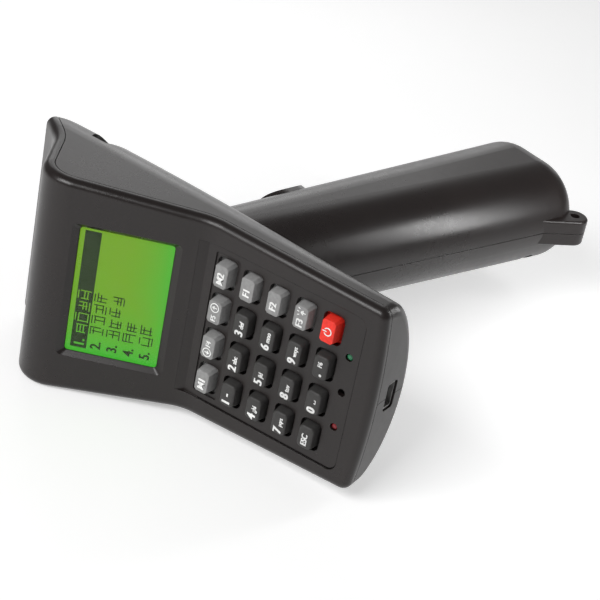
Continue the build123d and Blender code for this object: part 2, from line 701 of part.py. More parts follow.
def scan_engine():
    depth = SCAN_SET_BACK + SCAN_WINDOW_THICK + ENGINE_GAP
    block = Box(ENGINE_HIGH, ENGINE_WIDE, ENGINE_LONG, align=(Align.CENTER, Align.CENTER, Align.MAX))
    block = chamfer(block.edges().filter_by(Axis.Z), ENGINE_EDGE)
    return MOUTH_FACE * Pos(ENGINE_MIDDLE, 0, -depth) * block


def scan_lens():
    depth = SCAN_SET_BACK + SCAN_WINDOW_THICK + ENGINE_GAP
    ring = Cylinder(LENS_WIDTH / 2, LENS_RISE, align=(Align.CENTER, Align.CENTER, Align.MIN))
    ring = chamfer(ring.faces().sort_by(Axis.Z)[-1].edges(), LENS_RISE / 2)
    return MOUTH_FACE * Pos(ENGINE_MIDDLE, 0, -depth) * ring


# ---- trigger ----


def trigger():
    """Button with an oval face, a retaining flange inside the wall, and a stem towards the switch."""
    forward = grip_plane(0).x_dir * (TRIGGER_PROUD_SIDE - TRIGGER_PROUD)
    cap = (Pos(forward) * grip_solid(-TRIGGER_PROUD_SIDE) - grip_solid(TRIGGER_LIP)) & trigger_prism(0)
    under = WALL + MOVE_GAP
    core = (grip_solid(TRIGGER_LIP / 2) - grip_solid(under + TRIGGER_FLANGE)) & trigger_prism(
        0, TRIGGER_FLANGE_HALF
    )
    flange = (grip_solid(under) - grip_solid(under + TRIGGER_FLANGE)) & trigger_prism(
        TRIGGER_FLANGE, TRIGGER_FLANGE_HALF - 2 * TRIGGER_FLANGE
    )
    reach = Box(FAR, TRIGGER_STEM, TRIGGER_STEM, align=(Align.MAX, Align.CENTER, Align.CENTER))
    stem = grip_plane(TRIGGER_ALONG) * Pos(-TRIGGER_STEM_END, 0, 0) * reach & grip_solid(WALL)
    return cap + core + flange + stem


def trigger_switch():
    box = Box(SWITCH_HIGH, SWITCH_WIDE, SWITCH_LONG, align=(Align.MAX, Align.CENTER, Align.CENTER))
    return grip_plane(TRIGGER_ALONG) * box


def switch_board():
    sheet = Box(
        SWITCH_BOARD_THICK,
        SWITCH_BOARD_WIDE,
        SWITCH_BOARD_LONG,
        align=(Align.MIN, Align.CENTER, Align.CENTER),
    )
    return grip_plane(TRIGGER_ALONG) * sheet


# ---- battery ----


def round_bar(start, width, length):
    """A round bar on the grip's axis."""
    return grip_plane(start) * Cylinder(width / 2, length, align=(Align.CENTER, Align.CENTER, Align.MIN))


def battery():
    can = round_bar(CELL_START, CELL_WIDTH, CELL_LENGTH)
    can = chamfer(can.edges().filter_by(GeomType.CIRCLE), CELL_EDGE)
    return can + round_bar(CELL_START - CELL_TIP, CELL_TIP_WIDTH, CELL_TIP)


def contact_front():
    return round_bar(CELL_START - CELL_TIP - CONTACT_THICK, CONTACT_WIDTH, CONTACT_THICK)


def contact_back():
    """End contact: a plate with the spring, which is drawn as its outer cone."""
    cone = Cone(
        SPRING_TIP_WIDTH / 2,
        SPRING_WIDTH / 2,
        SPRING_LENGTH,
        align=(Align.CENTER, Align.CENTER, Align.MIN),
    )
    plate = round_bar(LAST_STOP - CONTACT_THICK, CONTACT_WIDTH, CONTACT_THICK)
    return plate + grip_plane(CELL_START + CELL_LENGTH) * cone


def assemble():
    shell = back_shell()
    pieces = {
        "front_cover": front_cover(),
        "shell_right": half_of(shell, 1),
        "shell_left": half_of(shell, -1),
        "main_board": main_board(),
        "dome_sheet": dome_sheet(),
        "lamp_green": lamp(LAMP_PITCH),
        "lamp_red": lamp(-LAMP_PITCH),
        "buzzer": buzzer(),
        "usb_port": usb_port(),
        "board_can": board_can(),
        "scan_window": scan_window(),
        "scan_engine": scan_engine(),
        "scan_lens": scan_lens(),
        "trigger": trigger(),
        "trigger_switch": trigger_switch(),
        "switch_board": switch_board(),
        "battery": battery(),
        "contact_front": contact_front(),
        "contact_back": contact_back(),
        "cover_screws": cover_screws(),
        "grip_screws": grip_screws(),
    }
    pieces.update(screen_pieces())
    pieces.update(keys())
    return pieces


def main():
    os.makedirs("parts", exist_ok=True)
    pieces = assemble()
    box = Compound([pieces[name] for name in ("front_cover", "shell_right", "shell_left")]).bounding_box()
    home = Pos(-(box.min.X + box.max.X) / 2, -(box.min.Y + box.max.Y) / 2, -box.min.Z)
    print("moved by", home.position)
    for name, piece in pieces.items():
        export_step(home * piece, f"parts/{name}.step")


main()
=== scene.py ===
import json
import math
import random

import bmesh
import bpy
from mathutils import Matrix, Vector


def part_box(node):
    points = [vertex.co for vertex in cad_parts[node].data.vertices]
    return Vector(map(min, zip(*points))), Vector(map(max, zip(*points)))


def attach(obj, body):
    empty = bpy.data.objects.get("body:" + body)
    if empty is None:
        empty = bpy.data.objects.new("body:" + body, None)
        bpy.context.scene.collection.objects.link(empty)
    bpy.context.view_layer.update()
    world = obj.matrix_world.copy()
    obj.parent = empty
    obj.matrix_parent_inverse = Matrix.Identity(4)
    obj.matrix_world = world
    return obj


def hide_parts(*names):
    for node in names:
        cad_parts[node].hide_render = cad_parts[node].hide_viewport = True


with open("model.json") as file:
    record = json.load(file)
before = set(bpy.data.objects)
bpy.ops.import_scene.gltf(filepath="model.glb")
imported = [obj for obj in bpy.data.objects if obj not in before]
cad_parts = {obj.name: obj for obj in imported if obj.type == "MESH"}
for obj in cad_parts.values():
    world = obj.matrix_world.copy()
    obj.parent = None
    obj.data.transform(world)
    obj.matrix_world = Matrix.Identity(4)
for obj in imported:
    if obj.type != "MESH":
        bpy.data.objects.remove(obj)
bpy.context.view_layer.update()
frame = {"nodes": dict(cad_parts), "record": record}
NODES = frame["nodes"]

# The part's own measures, in millimetres from the middle of the line where the screen meets the keypad:
# x towards the keypad's end, y into the body, z to the user's right
SCREEN_TILT = math.radians(27.8)
SCREEN_NEAR, SCREEN_FAR, SCREEN_SIDE = 8.5, 34.1, 19.2  # the opening, up the screen face and to its sides
GLASS_OUT = -2.2  # the display glass lies below the screen face
PANE_LIP = 1.5    # how far the pane reaches behind the opening's edge
FIRST_ROW, ROW_PITCH, KEY_PITCH = 6.5, 8.53, 11.0  # x of the first row, from row to row, from key to key
KEY_TOP = -2.1  # depths count into the body, so what stands out of the face is negative
FIELD_START, FIELD_END, FIELD_HALF, FIELD_CORNER = 4.5, 50.3, 23.7, 3.0  # the sunken field of the keys
LAMP_X, LAMP_Z, LAMP_RADIUS = 47.0, 10.8, 1.0
COVER_SCREWS = ((-47.0, 26.0), (50.0, 20.8))  # (x, z) of a pair, one on each side
COVER_SHELF = 10.0  # the depth at which their heads seat
GRIP_X, GRIP_LEAN = -19.3, math.radians(16.9)  # where the grip's axis meets the keypad's plane, and its lean
GRIP_SCREWS = ((70.0, 13.0), (84.0, -13.6), (139.0, 14.6))  # (along the grip's axis, out in front of it)
GRIP_SHELF = -3.0   # the z at which their heads seat

# key_5 sits in the third row and the second column, so its box ties those measures to the frame
key_low, key_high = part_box("key_5")
HOME = Vector(
    (
        (key_low.x + key_high.x) / 2 - (FIRST_ROW + 2 * ROW_PITCH) / 1000,
        key_low.y - KEY_TOP / 1000,
        (key_low.z + key_high.z) / 2 + KEY_PITCH / 2000,
    )
)


def at(x, y, z):
    """A place in the frame, in metres, from the part's own millimetres."""
    return HOME + Vector((x, y, z)) / 1000


# ---------------------------------------------------------------- materials


class Graph:
    """A material's node tree with short calls for its nodes."""

    def __init__(self, name):
        self.material = bpy.data.materials.new(name)
        self.material.use_nodes = True
        self.tree = self.material.node_tree
        self.tree.nodes.clear()
        self.output = self.tree.nodes.new("ShaderNodeOutputMaterial")
        self.coords = self.node("TexCoord").outputs["Object"]

    def put(self, socket, value):
        """Link an input to an output, or set its value; a colour may come without its alpha."""
        if isinstance(value, bpy.types.NodeSocket):
            self.tree.links.new(value, socket)
        elif socket.type == "RGBA" and len(value) == 3:
            socket.default_value = (*value, 1.0)
        else:
            socket.default_value = value

    def node(self, kind, **inputs):
        """A new node with some of its inputs, each by its name with _ for a space."""
        made = self.tree.nodes.new("ShaderNode" + kind)
        for name, value in inputs.items():
            self.put(made.inputs[name.replace("_", " ")], value)
        return made

    def noise(self, scale, detail=3.0, rough=0.55, vector=None):
        place = vector or self.coords
        made = self.node("TexNoise", Vector=place, Scale=scale, Detail=detail, Roughness=rough)
        return made.outputs["Fac"]

    def stretched(self, scale, turn=(0.0, 0.0, 0.0)):
        """The object's coordinates, stretched and turned."""
        return self.node("Mapping", Vector=self.coords, Scale=scale, Rotation=turn).outputs[0]

    def span(self, value, low, high, to_low, to_high):
        """A value between low and high carried over to another span, and held at its ends."""
        made = self.node("MapRange", Value=value, From_Min=low, From_Max=high, To_Min=to_low, To_Max=to_high)
        made.clamp = True
        return made.outputs["Result"]

    def math(self, operation, a, b):
        made = self.node("Math")
        made.operation = operation
        self.put(made.inputs[0], a)
        self.put(made.inputs[1], b)
        return made.outputs[0]

    def scaled(self, colour, factor):
        """A colour made lighter or darker by a factor."""
        made = self.node("VectorMath")
        made.operation = "SCALE"
        self.put(made.inputs[0], colour)
        self.put(made.inputs["Scale"], factor)
        return made.outputs[0]

    def mix(self, factor, a, b):
        """A colour between two colours."""
        made = self.node("Mix")
        made.data_type = "RGBA"
        for index, value in ((0, factor), (6, a), (7, b)):  # the inputs that a mix of colours uses
            self.put(made.inputs[index], value)
        return made.outputs[2]

    def bump(self, height, strength, distance, normal=None):
        made = self.node("Bump", Strength=strength, Distance=distance, Height=height)
        if normal is not None:
            self.put(made.inputs["Normal"], normal)
        return made.outputs["Normal"]

    def finish(self, **inputs):
        """The material, with a principled shader that has these inputs."""
        shader = self.node("BsdfPrincipled", **inputs)
        self.put(self.output.inputs["Surface"], shader.outputs[0])
        return self.material


EDGE_SOFT = 0.00025  # radius that the shading gives to a moulded edge, in metres


def moulded(name, colour, rough, grain=2600.0, deep=0.00002, wear=0.35, smudge=0.05, gloss=0.45):
    """Moulded plastic: fine spark grain, faint shade changes, rubbed edges and finger marks."""
    g = Graph(name)
    bevel = g.node("Bevel", Radius=EDGE_SOFT)
    bevel.samples = 4
    turn = g.node("VectorMath")
    turn.operation = "DOT_PRODUCT"
    g.put(turn.inputs[0], bevel.outputs[0])
    g.put(turn.inputs[1], g.node("NewGeometry").outputs["Normal"])
    edge = g.span(turn.outputs["Value"], 0.94, 0.7, 0.0, 1.0)
    patch = g.span(g.noise(60.0, 4.0), 0.42, 0.62, 0.0, 1.0)
    worn = g.math("MULTIPLY", g.math("MULTIPLY", edge, patch), wear)
    shade = g.span(g.noise(38.0, 5.0), 0.35, 0.65, 0.88, 1.12)
    fleck = g.span(g.noise(grain * 0.6, 2.0), 0.35, 0.65, 0.92, 1.08)
    tone = g.scaled(colour, g.math("MULTIPLY", shade, fleck))
    rubbed = tuple(min(1.0, c * 1.7 + 0.03) for c in colour)
    base = g.mix(worn, tone, rubbed)
    marks = g.span(g.noise(14.0, 6.0, 0.6), 0.4, 0.66, -smudge, smudge)
    fine = g.span(g.noise(420.0, 3.0), 0.3, 0.7, -0.02, 0.02)
    roughness = g.math("ADD", g.math("ADD", marks, fine), rough)
    normal = g.bump(g.noise(grain, 2.0), 0.35, deep, bevel.outputs[0])
    normal = g.bump(g.noise(30.0, 2.0), 0.12, 0.00015, normal)
    return g.finish(Base_Color=base, Roughness=roughness, Specular_IOR_Level=gloss, Normal=normal)


def lcd_face():
    """Backlit liquid crystal glass: lime green, brighter towards the lamps along two of its edges."""
    g = Graph("lcd")
    split = g.node("SeparateXYZ", Vector=g.coords)
    near, far = at(0, 0, -SCREEN_SIDE).z, at(0, 0, SCREEN_SIDE).z
    across = g.span(split.outputs["Z"], near, far, 1.0, 0.0)
    x_far = at(-SCREEN_FAR * math.cos(SCREEN_TILT), 0, 0).x
    x_near = at(-SCREEN_NEAR * math.cos(SCREEN_TILT), 0, 0).x
    along = g.span(split.outputs["X"], x_far, x_near, 0.0, 1.0)
    glow = g.math("MAXIMUM", g.math("POWER", across, 3.0), g.math("POWER", along, 4.0))
    drift = g.span(g.noise(45.0, 2.0), 0.3, 0.7, -0.08, 0.08)
    glow = g.math("ADD", glow, drift)
    colour = g.mix(glow, (0.152, 0.335, 0.003), (0.040, 0.430, 0.020))
    normal = g.bump(g.noise(5200.0, 1.0), 0.1, 0.000005)
    return g.finish(
        Base_Color=g.mix(glow, (0.02, 0.05, 0.005), (0.012, 0.05, 0.008)),
        Roughness=0.35,
        Specular_IOR_Level=0.2,
        Emission_Color=colour,
        Emission_Strength=1.0,
        Normal=normal,
    )


def clear_pane(name, colour, rough, alpha):
    """A clear or tinted plastic pane with a faint haze and hairline scratches."""
    g = Graph(name)
    stretched = g.stretched((14.0, 900.0, 900.0), (0.3, 0.2, 0.9))
    lines = g.span(g.noise(1.0, 2.0, 0.5, stretched), 0.62, 0.72, 0.0, 1.0)
    haze = g.span(g.noise(22.0, 5.0), 0.35, 0.7, 0.0, 0.07)
    roughness = g.math("ADD", haze, rough)
    tint = tuple(c * 0.8 for c in colour)
    return g.finish(
        Base_Color=g.mix(g.span(g.noise(18.0), 0.3, 0.7, 0.0, 0.3), colour, tint),
        Roughness=roughness,
        IOR=1.49,
        Alpha=alpha,
        Normal=g.bump(lines, 0.15, 0.000004),
    )


def lamp_body(name, colour, glow):
    """Tinted epoxy with tiny bubbles, a little light coming through it."""
    g = Graph(name)
    return g.finish(
        Base_Color=g.scaled(colour, g.span(g.noise(900.0, 3.0), 0.3, 0.7, 0.7, 1.2)),
        Roughness=g.span(g.noise(500.0), 0.3, 0.7, 0.12, 0.22),
        Emission_Color=colour,
        Emission_Strength=glow,
        Normal=g.bump(g.noise(1500.0, 1.0), 0.1, 0.00001),
    )


def metal(name, colour, rough, scratch=(40.0, 2200.0, 900.0)):
    """Plated metal with fine drawn lines and dulled patches."""
    g = Graph(name)
    lines = g.noise(1.0, 3.0, 0.6, g.stretched(scratch))
    patch = g.span(g.noise(260.0, 4.0), 0.35, 0.65, 0.0, 1.0)
    dull = tuple(c * 0.62 for c in colour)
    return g.finish(
        Base_Color=g.mix(g.math("MULTIPLY", patch, 0.6), colour, dull),
        Metallic=0.95,
        Roughness=g.span(lines, 0.3, 0.7, rough - 0.08, rough + 0.1),
        Normal=g.bump(lines, 0.2, 0.00001),
    )


def board_face():
    """Green solder mask over faint copper runs."""
    g = Graph("board")
    runs = g.node("TexBrick", Vector=g.coords, Scale=260.0)
    track = g.span(runs.outputs["Fac"], 0.0, 1.0, 0.0, 0.5)
    blotch = g.span(g.noise(120.0), 0.3, 0.7, 0.0, 0.4)
    base = g.mix(g.math("MAXIMUM", track, blotch), (0.015, 0.12, 0.045), (0.04, 0.2, 0.07))
    return g.finish(
        Base_Color=base,
        Roughness=g.span(g.noise(300.0), 0.3, 0.7, 0.25, 0.4),
        Normal=g.bump(runs.outputs["Fac"], 0.3, 0.00003),
    )


KEY_GRAIN = {"grain": 1900.0, "deep": 0.00003}
PRINT_GRAIN = {"grain": 2400.0, "deep": 0.00001, "wear": 0.0}
MATERIALS = {
    "housing": moulded("housing", (0.0130, 0.0092, 0.0086), 0.31, deep=0.000006),
    "dark_key": moulded("dark_key", (0.042, 0.040, 0.039), 0.52, wear=0.2, **KEY_GRAIN),
    "grey_key": moulded("grey_key", (0.28, 0.277, 0.276), 0.48, wear=0.2, **KEY_GRAIN),
    "power_key": moulded("power_key", (0.92, 0.035, 0.02), 0.45, wear=0.15, **KEY_GRAIN),
    "window": clear_pane("window", (0.25, 0.28, 0.25), 0.05, 0.05),
    "lcd": lcd_face(),
    "lamp_green": lamp_body("lamp_green", (0.02, 0.16, 0.07), 0.03),
    "lamp_red": lamp_body("lamp_red", (0.20, 0.006, 0.012), 0.03),
    "scan_pane": clear_pane("scan_pane", (0.16, 0.006, 0.010), 0.08, 0.82),
    "lens": lamp_body("lens", (0.05, 0.01, 0.02), 0.0),
    "board": board_face(),
    "dome": moulded("dome", (0.6, 0.6, 0.57), 0.35, grain=900.0, deep=0.00001, wear=0.0),
    "inner_plastic": moulded("inner_plastic", (0.05, 0.05, 0.055), 0.5, grain=1500.0),
    "metal": metal("metal", (0.42, 0.415, 0.41), 0.36),
    "cell": moulded("cell", (0.05, 0.12, 0.32), 0.3, grain=700.0, deep=0.00001, wear=0.1),
    "screw": metal("screw", (0.16, 0.16, 0.17), 0.38, (900.0, 900.0, 900.0)),
}
LEGEND = moulded("legend", (0.93, 0.93, 0.92), 0.55, **PRINT_GRAIN)
# near-black finish for strips that paint a shadow, such as the one at the foot of the keypad field's step
SHADOW_LINE = moulded("shadow_line", (0.004, 0.004, 0.004), 0.6, gloss=0.1, **PRINT_GRAIN)
INK = moulded("lcd_ink", (0.018, 0.042, 0.006), 0.3, deep=0.000002, wear=0.0, smudge=0.02, gloss=0.15)

for part in frame["record"]["subparts"]:
    node = NODES[part["node"]]
    for place in node.material_slots:
        place.material = MATERIALS[part["material_slot"]]


# ---------------------------------------------------------------- mesh helpers


def mesh_piece(name, points, faces, materials, kinds=None, sharp=35.0):
    """An object in metres from points in metres, smooth except at angles over a limit."""
    mesh = bpy.data.meshes.new(name)
    mesh.from_pydata([tuple(p) for p in points], [], faces)
    for material in materials:
        mesh.materials.append(material)
    if kinds:
        mesh.polygons.foreach_set("material_index", kinds)
    tidy = bmesh.new()
    tidy.from_mesh(mesh)
    bmesh.ops.recalc_face_normals(tidy, faces=tidy.faces)
    tidy.to_mesh(mesh)
    tidy.free()
    mesh.shade_smooth()
    mesh.set_sharp_from_angle(angle=math.radians(sharp))
    made = bpy.data.objects.new(name, mesh)
    bpy.context.scene.collection.objects.link(made)
    return made


def ring(half_x, half_z, corner, steps):
    """Points round a rectangle with rounded corners, or cut ones for one step."""
    points = []
    for k, (sx, sz) in enumerate(((1, 1), (-1, 1), (-1, -1), (1, -1))):
        for i in range(steps + 1):
            angle = math.radians(90 * k + 90 * i / steps)
            points.append(
                (
                    sx * (half_x - corner) + corner * math.cos(angle),
                    sz * (half_z - corner) + corner * math.sin(angle),
                )
            )
    return points


def bridge(count, rings):
    """Faces that join rings of the same number of points, with the two ends filled."""
    faces = []
    for r in range(rings - 1):
        for i in range(count):
            j = (i + 1) % count
            faces.append((r * count + i, r * count + j, (r + 1) * count + j, (r + 1) * count + i))
    faces.append(tuple(range(count)))
    faces.append(tuple(range((rings - 1) * count, rings * count)))
    return faces


def lathe(profile, around):
    """Points and faces of a turned shape from its (radius, height) profile."""
    points = []
    for radius, height in profile:
        for i in range(around):
            angle = 2 * math.pi * i / around
            points.append((radius * math.cos(angle), radius * math.sin(angle), height))
    return points, bridge(around, len(profile))


# ---------------------------------------------------------------- legends

# A legend is drawn in its own plane: u along the reading direction, v up, both in millimetres.
PRINT_HALF = 0.03  # half the thickness of print


def text_shape(words, size, u, v, bold, narrow=0.88):
    """Points and faces of printed words whose left end is at u and whose foot is at v.

    The words are three copies side by side, a hair above each other, which makes their strokes bold."""
    curve = bpy.data.curves.new("words", "FONT")
    curve.body = words
    curve.size = size
    curve.offset = size * 0.012
    curve.extrude = PRINT_HALF
    curve.resolution_u = 3
    holder = bpy.data.objects.new("words", curve)
    bpy.context.scene.collection.objects.link(holder)
    bpy.context.view_layer.update()
    solved = holder.evaluated_get(bpy.context.evaluated_depsgraph_get())
    mesh = bpy.data.meshes.new_from_object(solved)
    faces = [tuple(face.vertices) for face in mesh.polygons]
    copies = []
    for shift, lift in ((-bold, 0.0), (0.0, 0.004), (bold, 0.008)):
        left = u + bold + shift
        points = [(left + p.co.x * narrow, v + p.co.y, p.co.z + lift) for p in mesh.vertices]
        copies.append((points, faces))
    bpy.data.objects.remove(holder)
    bpy.data.meshes.remove(mesh)
    bpy.data.curves.remove(curve)
    return joined(copies)


def slab(outline):
    """A thin plate with a straight-edged outline."""
    points = [(u, v, -PRINT_HALF) for u, v in outline] + [(u, v, PRINT_HALF) for u, v in outline]
    return points, bridge(len(outline), 2)


def arc_band(u, v, radius, width, start, end, steps=28):
    """A band bent round a centre from one angle to another, as a chain of plates."""
    points, faces = [], []
    for i in range(steps + 1):
        angle = math.radians(start + (end - start) * i / steps)
        for r in (radius - width / 2, radius + width / 2):
            for h in (-PRINT_HALF, PRINT_HALF):
                points.append((u + r * math.cos(angle), v + r * math.sin(angle), h))
    for i in range(steps):
        a, b = 4 * i, 4 * i + 4
        faces += [
            (a, a + 1, b + 1, b),
            (a + 2, b + 2, b + 3, a + 3),
            (a + 1, a + 3, b + 3, b + 1),
            (a, b, b + 2, a + 2),
        ]
    if abs(end - start) < 360:
        last = 4 * steps
        faces += [(0, 2, 3, 1), (last, last + 1, last + 3, last + 2)]
    return points, faces


def bar(u0, v0, u1, v1, width):
    """A straight stroke between two places."""
    run = Vector((u1 - u0, v1 - v0))
    side = Vector((-run.y, run.x)).normalized() * width / 2
    return slab(
        [
            (u0 + side.x, v0 + side.y),
            (u0 - side.x, v0 - side.y),
            (u1 - side.x, v1 - side.y),
            (u1 + side.x, v1 + side.y),
        ]
    )


def joined(shapes):
    """Several shapes as one: their points and their faces."""
    points, faces = [], []
    for some, theirs in shapes:
        start = len(points)
        points += some
        faces += [tuple(i + start for i in face) for face in theirs]
    return points, faces


def digit_and_letters(digit, letters):
    """A large digit with its small letters to the right."""
    shapes = [text_shape(digit, 3.6, -3.05, -1.25, 0.15)]
    if letters:
        size = 1.95 if len(letters) < 4 else 1.7
        shapes.append(text_shape(letters, size, -0.65, -1.15, 0.06, 0.84))
    return joined(shapes)


def circled_arrow(u, up):
    """An arrow in a ring, pointing towards the top of the legend or its foot."""
    way = 1 if up else -1
    return joined(
        [
            arc_band(u, 0, 1.25, 0.28, 0, 360),
            bar(u, -0.75 * way, u, 0.15 * way, 0.34),
            slab([(u - 0.62, 0.05 * way), (u + 0.62, 0.05 * way), (u, 0.85 * way)]),
        ]
    )


def lamp_icon(u):
    """A lamp with three rays."""
    strokes = (
        (-0.6, -0.6, 0.0, 0.1),
        (0.6, -0.6, 0.0, 0.1),
        (-0.6, -0.6, 0.6, -0.6),
        (0.0, 0.1, 0.0, -1.4),
        (-0.8, 0.45, -1.1, 1.05),
        (0.0, 0.6, 0.0, 1.3),
        (0.8, 0.45, 1.1, 1.05),
    )
    return joined([bar(u + u0, v0, u + u1, v1, 0.24) for u0, v0, u1, v1 in strokes])


def power_symbol():
    """A broken ring with a stroke through the gap."""
    return joined([arc_band(0, -0.05, 1.05, 0.32, 122, 418), bar(0, 0.2, 0, 1.5, 0.32)])


KEYS = (
    ("m1", "f4", "f5", "m2"),
    ("1", "2", "3", "f1"),
    ("4", "5", "6", "f2"),
    ("7", "8", "9", "f3"),
    ("esc", "0", "dot", "power"),
)
CRISP = ("m1", "f4", "f5", "m2", "f1", "f2", "f3", "power")  # keys with cut corners and sharp edges
LETTERS = {
    "2": "abc",
    "3": "def",
    "4": "ghi",
    "5": "jkl",
    "6": "mno",
    "7": "pqrs",
    "8": "tuv",
    "9": "wxyz",
}


def legend_for(name):
    """Points and faces of a key's print, with the middle of the key at the origin."""
    if name in LETTERS:
        return digit_and_letters(name, LETTERS[name])
    if name == "1":
        return joined([digit_and_letters("1", ""), bar(-0.3, -0.2, 0.65, -0.2, 0.45)])
    if name == "0":
        space = ((0.1, -0.95, 1.2, -0.95), (0.2, -1.0, 0.2, -0.5), (1.1, -1.0, 1.1, -0.5))
        return joined([digit_and_letters("0", ""), *(bar(*ends, 0.22) for ends in space)])
    if name == "dot":
        point = arc_band(-2.1, -0.6, 0.2, 0.38, 0, 360, 16)
        return joined([point, text_shape("F6", 1.9, 0.1, -0.65, 0.07)])
    if name == "esc":
        return text_shape("ESC", 2.5, -2.5, -0.85, 0.11, 0.84)
    if name in ("m1", "m2"):
        return text_shape(name.upper(), 3.1, -2.45, -1.1, 0.12)
    if name == "f4":
        return joined([circled_arrow(-1.5, False), text_shape("F4", 2.1, 0.15, -0.75, 0.07)])
    if name == "f5":
        return joined([circled_arrow(1.5, True), text_shape("F5", 2.1, -2.65, -0.75, 0.07)])
    if name == "f3":
        return joined([text_shape("F3", 2.9, -2.8, -1.0, 0.11), lamp_icon(1.75)])
    if name == "power":
        return power_symbol()
    return text_shape(name.upper(), 2.9, -2.1, -1.0, 0.11)


# ---------------------------------------------------------------- keys


KEY_DRAFT = math.tan(math.radians(7.0))
PLUNGER_HALF, PLUNGER_FOOT = 1.2, 4.25
FLANGE_HALF_X, FLANGE_HALF_Z, FLANGE_FOOT, FLANGE_TOP = 3.65, 4.8, 3.35, 2.55
DRAFT_FOOT = 0.5     # depth at which a key's sides start to lean in
CROWN_ROOM = 0.12    # the top's edge lies this far below the highest place
CRISP_CROWN, ROUND_CROWN = 0.03, 0.08  # how far a key's top rises to its middle
CROWN_SHARES = (0.85, 0.7, 0.55, 0.4, 0.25, 0.1)  # sizes of the top's rings against its edge
PRINT_LIFT = 0.02
STEP = 0.01          # depth between the two rings of a square step


def key_rings(crisp):
    """(depth, half x, half z, corner) from the plunger's foot up to the top face, in millimetres."""
    corner, turn, rounds = (0.8, 0.22, 2) if crisp else (1.35, 0.55, 7)
    half_x, half_z = (2.35, 3.6) if crisp else (2.5, 3.65)
    steps = [
        (PLUNGER_FOOT, PLUNGER_HALF, PLUNGER_HALF, 0.2),
        (FLANGE_FOOT + STEP, PLUNGER_HALF, PLUNGER_HALF, 0.2),
        (FLANGE_FOOT, FLANGE_HALF_X, FLANGE_HALF_Z, 0.3),
        (FLANGE_TOP, FLANGE_HALF_X, FLANGE_HALF_Z, 0.3),
        (FLANGE_TOP - STEP, half_x, half_z, corner),
        (DRAFT_FOOT, half_x, half_z, corner),
    ]
    for i in range(rounds + 1):
        angle = math.radians(90 * i / rounds)
        depth = KEY_TOP + CROWN_ROOM + turn * (1 - math.sin(angle))
        inset = KEY_DRAFT * (DRAFT_FOOT - depth) + turn * (1 - math.cos(angle))
        steps.append((depth, half_x - inset, half_z - inset, max(corner - inset * 0.6, 0.25)))
    return steps


def crown(x, z, half_x, half_z, high):
    """How far a key's top stands over its own edge."""
    return high * max(0.0, 1 - (x / half_x) ** 2) * max(0.0, 1 - (z / half_z) ** 2)


def make_key(name, row, column):
    """A key with its flange, plunger and raised print, in place of the solid."""
    crisp = name in CRISP
    steps = key_rings(crisp)
    detail = 1 if crisp else 6
    rings = [
        [(x, depth, z) for x, z in ring(half_x, half_z, corner, detail)]
        for depth, half_x, half_z, corner in steps
    ]
    top, half_x, half_z, corner = steps[-1]
    high = CRISP_CROWN if crisp else ROUND_CROWN
    for share in CROWN_SHARES:
        rings.append(
            [
                (x * share, top - crown(x * share, z * share, half_x, half_z, high), z * share)
                for x, z in ring(half_x, half_z, corner, detail)
            ]
        )
    points = [p for some in rings for p in some]
    faces = bridge(len(rings[0]), len(rings))
    kinds = [0] * len(faces)
    print_points, print_faces = legend_for(name)
    start = len(points)
    for u, v, h in print_points:
        points.append((-v, top - crown(-v, u, half_x, half_z, high) - h - PRINT_LIFT, u))
    faces += [tuple(i + start for i in face) for face in print_faces]
    kinds += [1] * len(print_faces)
    x0 = FIRST_ROW + row * ROW_PITCH
    z0 = (column - 1.5) * KEY_PITCH
    slot = "power_key" if name == "power" else "grey_key" if crisp else "dark_key"
    piece = mesh_piece(
        "keycap_" + name,
        [at(x0 + x, y, z0 + z) for x, y, z in points],
        faces,
        [MATERIALS[slot], LEGEND],
        kinds,
        sharp=25.0 if crisp else 45.0,
    )
    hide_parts("key_" + name)
    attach(piece, "key_" + name)


for row, names in enumerate(KEYS):
    for column, name in enumerate(names):
        make_key(name, row, column)


RIBBON_THICK = 0.06


def ribbon(path, width, depth):
    """Points and faces of a flat strip along (x, z) places, at a depth below the keypad face."""
    points, faces = [], []
    for i, (x, z) in enumerate(path):
        ahead = Vector(path[min(i + 1, len(path) - 1)]) - Vector(path[max(i - 1, 0)])
        side = Vector((-ahead.y, ahead.x)).normalized() * width / 2
        for sign in (-1, 1):
            for y in (depth, depth + RIBBON_THICK):
                points.append(at(x + sign * side.x, y, z + sign * side.y))
    for i in range(len(path) - 1):
        a, b = 4 * i, 4 * i + 4
        faces += [(a, b, b + 2, a + 2), (a + 1, a + 3, b + 3, b + 1), (a, a + 1, b + 1, b)]
        faces.append((a + 2, b + 2, b + 3, a + 3))
    last = 4 * (len(path) - 1)
    faces += [(0, 2, 3, 1), (last, last + 1, last + 3, last + 2)]
    return points, faces


def painted_field_shadow():
    """A near-black strip at the foot of the sunken field's edge, round three of its sides: a painted shadow
    of the field's step.
    """
    clear, width, depth = 0.17, 0.26, 0.44
    reach = FIELD_CORNER - clear
    path = [(FIELD_START, FIELD_HALF - clear)]
    for sign in (1, -1):
        middle_x, middle_z = FIELD_END - FIELD_CORNER, sign * (FIELD_HALF - FIELD_CORNER)
        for i in range(9):
            angle = math.radians(90 - 90 * i / 8 if sign > 0 else -90 * i / 8)
            path.append((middle_x + reach * math.cos(angle), middle_z + reach * math.sin(angle)))
    path.append((FIELD_START, clear - FIELD_HALF))
    points, faces = ribbon(path, width, depth)
    piece = mesh_piece("painted_field_shadow", points, faces, [SHADOW_LINE])
    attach(piece, "housing")


painted_field_shadow()


# ---------------------------------------------------------------- display


def on_screen(u, v, out):
    """A place on the screen face: u to the user's right, v up from the bend line, out of the face."""
    x = -v * math.cos(SCREEN_TILT) + out * math.sin(SCREEN_TILT)
    y = -v * math.sin(SCREEN_TILT) - out * math.cos(SCREEN_TILT)
    return at(x, y, u)


